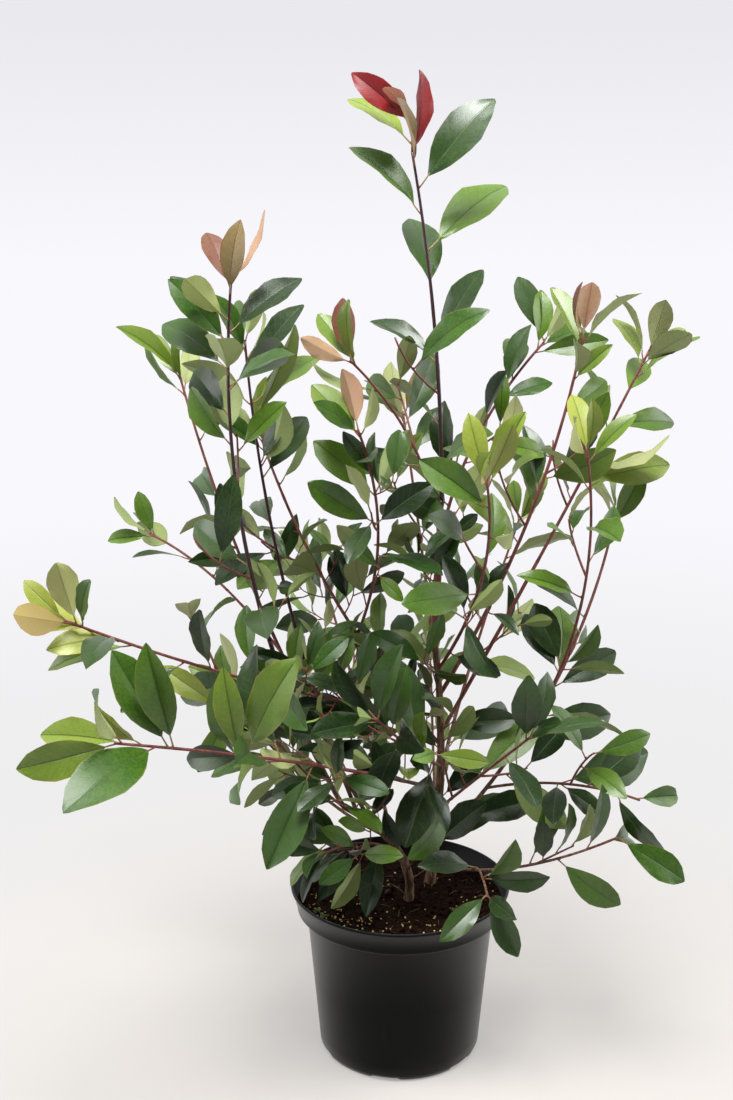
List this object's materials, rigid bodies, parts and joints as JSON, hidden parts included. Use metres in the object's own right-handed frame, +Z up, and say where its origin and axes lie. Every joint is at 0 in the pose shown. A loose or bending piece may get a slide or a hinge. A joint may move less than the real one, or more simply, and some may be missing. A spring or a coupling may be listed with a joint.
{
  "type": "potted photinia red robin shrub",
  "caption": "Open young evergreen shrub with red new growth, on slender branching stems in a round black nursery pot.",
  "frame": {"origin": "centre of the pot's flat underside", "axes": "+Z up along the pot's axis; -Y is the side with the two long low branches, +X to the right seen from there"},
  "size_m": [0.7791, 0.781, 1.2166],
  "materials": {
    "pot_plastic": "matt black moulded polypropylene with a soft sheen",
    "potting_soil": "dark, moist, crumbly potting compost with pale grains of fertiliser",
    "bark": "smooth brown bark, dark red on the young wood",
    "leaves": "leathery glossy dark green leaves, pale beneath, red and bronze at the tips"
  },
  "bodies": {
    "root": {"bough_back_left": "bark", "bough_back_low": "bark", "bough_back_middle": "bark", "bough_back_right": "bark", "bough_inner_front": "bark", "bough_inner_left": "bark", "bough_leader": "bark", "bough_left_front": "bark", "bough_left_inner": "bark", "bough_left_low_back": "bark", "bough_left_low_front": "bark", "bough_left_outer": "bark", "bough_left_reach": "bark", "bough_left_upright": "bark", "bough_low_right": "bark", "bough_middle": "bark", "bough_right_front": "bark", "bough_right_inner": "bark", "bough_right_low": "bark", "bough_right_middle": "bark", "bough_right_near": "bark", "bough_right_outer": "bark", "bough_right_skirt": "bark", "foliage_back_left": "leaves", "foliage_back_low": "leaves", "foliage_back_middle": "leaves", "foliage_back_right": "leaves", "foliage_heart_front": "leaves", "foliage_heart_left": "leaves", "foliage_heart_right": "leaves", "foliage_inner_front": "leaves", "foliage_inner_left": "leaves", "foliage_leader": "leaves", "foliage_left_front": "leaves", "foliage_left_inner": "leaves", "foliage_left_low_back": "leaves", "foliage_left_low_front": "leaves", "foliage_left_outer": "leaves", "foliage_left_reach": "leaves", "foliage_left_upright": "leaves", "foliage_low_front": "leaves", "foliage_low_left": "leaves", "foliage_low_right": "leaves", "foliage_middle": "leaves", "foliage_right_front": "leaves", "foliage_right_inner": "leaves", "foliage_right_low": "leaves", "foliage_right_middle": "leaves", "foliage_right_near": "leaves", "foliage_right_outer": "leaves", "foliage_right_skirt": "leaves", "pot": "pot_plastic", "soil": "potting_soil", "stem_left": "bark", "stem_right": "bark"}
  },
  "joints": []
}
